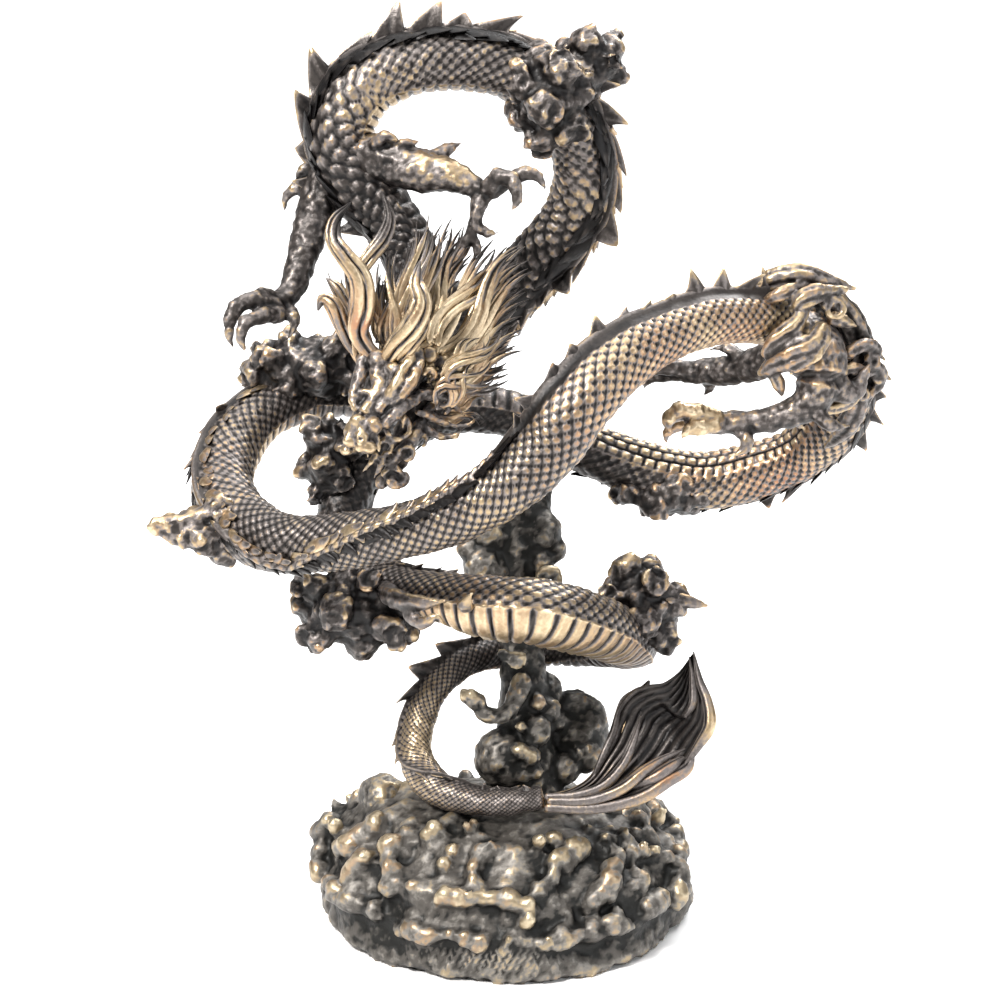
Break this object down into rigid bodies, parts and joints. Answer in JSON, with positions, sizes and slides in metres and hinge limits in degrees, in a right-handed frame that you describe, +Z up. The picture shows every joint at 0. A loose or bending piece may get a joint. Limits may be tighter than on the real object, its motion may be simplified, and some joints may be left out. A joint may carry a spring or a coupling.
{
  "type": "dragon sculpture",
  "caption": "Cast bronze desk sculpture of a long coiling dragon with a flame crest, clouds and a fan tail, rising round a rock column on a round rocky mound.",
  "frame": {"origin": "centre of the mound's flat underside, which it stands on", "axes": "+Z up along the sculpture's height, -Y out of its front, the side that the dragon's head faces, +X to the right seen from the front"},
  "size_m": [0.1519, 0.0833, 0.1906],
  "materials": {
    "dragon_bronze": "dark brown antique patina, rubbed back to pale gold on scales, locks and edges",
    "rock_bronze": "dark grey-green antique patina with dull gold on the knobs"
  },
  "bodies": {
    "root": {"dragon": "dragon_bronze", "rock_base": "rock_bronze"}
  },
  "joints": []
}
